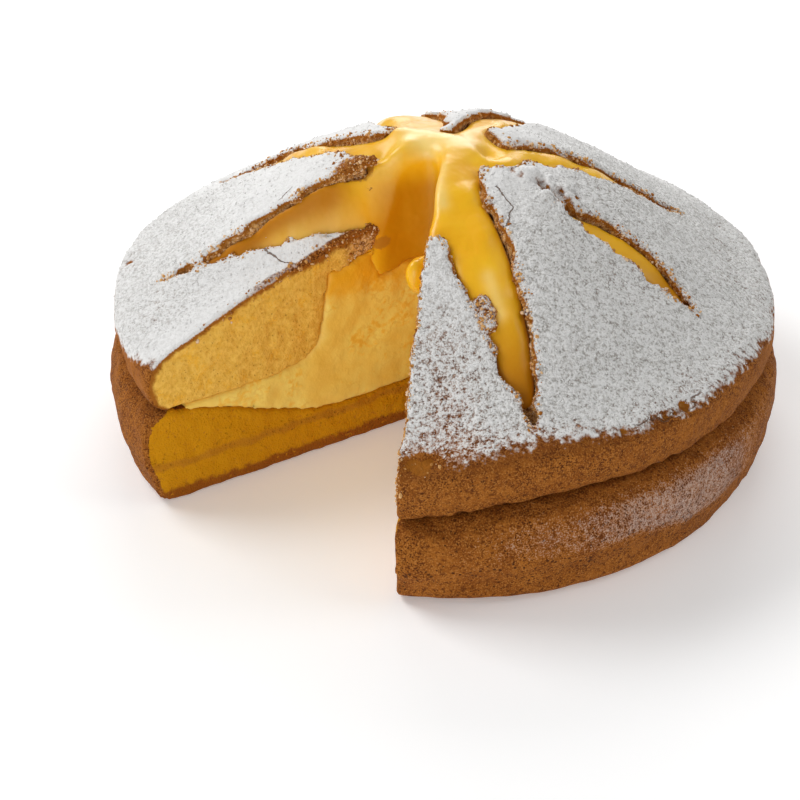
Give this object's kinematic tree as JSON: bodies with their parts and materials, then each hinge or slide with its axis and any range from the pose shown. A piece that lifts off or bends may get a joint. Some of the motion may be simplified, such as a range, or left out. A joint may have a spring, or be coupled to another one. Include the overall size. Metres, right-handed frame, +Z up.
{
  "type": "advocaat cake",
  "caption": "Round two-layer sponge cake with custard inside, a domed sugared top slit like a star and filled with advocaat, and a slice cut out.",
  "frame": {"origin": "centre of the cake's round underside", "axes": "+Z up, -Y towards the front, where the slice is missing to the left of the middle"},
  "size_m": [0.2384, 0.2397, 0.112],
  "materials": {
    "browned_sponge": "matte browned sponge crust",
    "custard": "smooth set custard",
    "sugared_sponge": "browned sponge crust under icing sugar",
    "advocaat": "glossy thick egg liqueur cream"
  },
  "bodies": {
    "root": {"lower_layer": "browned_sponge", "custard_filling": "custard", "upper_layer": "sugared_sponge", "advocaat_pool": "advocaat", "advocaat_strip": "advocaat"}
  },
  "joints": []
}
